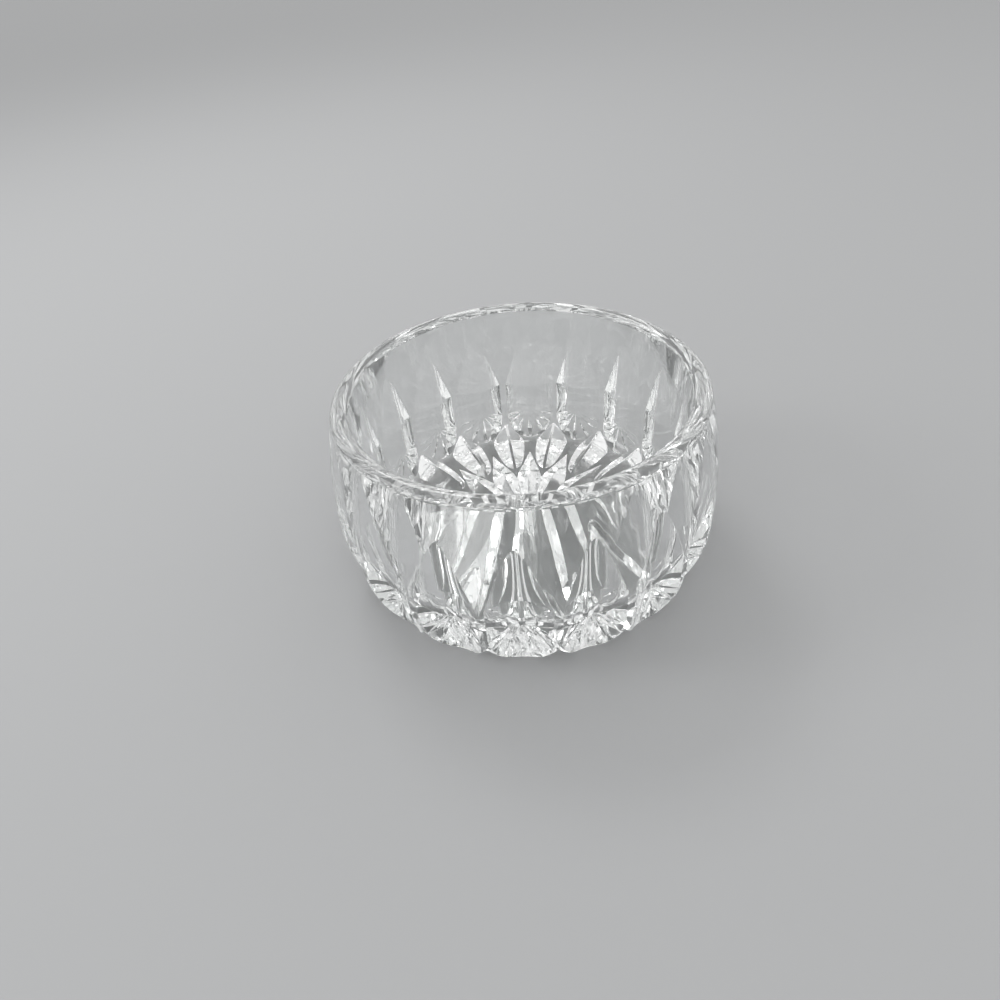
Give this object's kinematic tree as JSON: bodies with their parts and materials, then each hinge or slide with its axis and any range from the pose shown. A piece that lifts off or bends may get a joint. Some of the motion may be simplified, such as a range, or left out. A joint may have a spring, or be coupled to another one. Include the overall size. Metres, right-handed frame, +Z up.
{
  "type": "candy dish",
  "caption": "Round open candy dish of heavy clear cut glass, with a plain rounded rim, pointed flutes around the wall, a scalloped foot and a star on the underside.",
  "frame": {"origin": "centre of the underside, on the surface that the dish stands on", "axes": "+Z up along the axis of the round dish, -Y through the middle of one flute"},
  "size_m": [0.1186, 0.1174, 0.06],
  "materials": {
    "glass": "clear polished cut glass"
  },
  "bodies": {
    "root": {"bowl": "glass"}
  },
  "joints": []
}
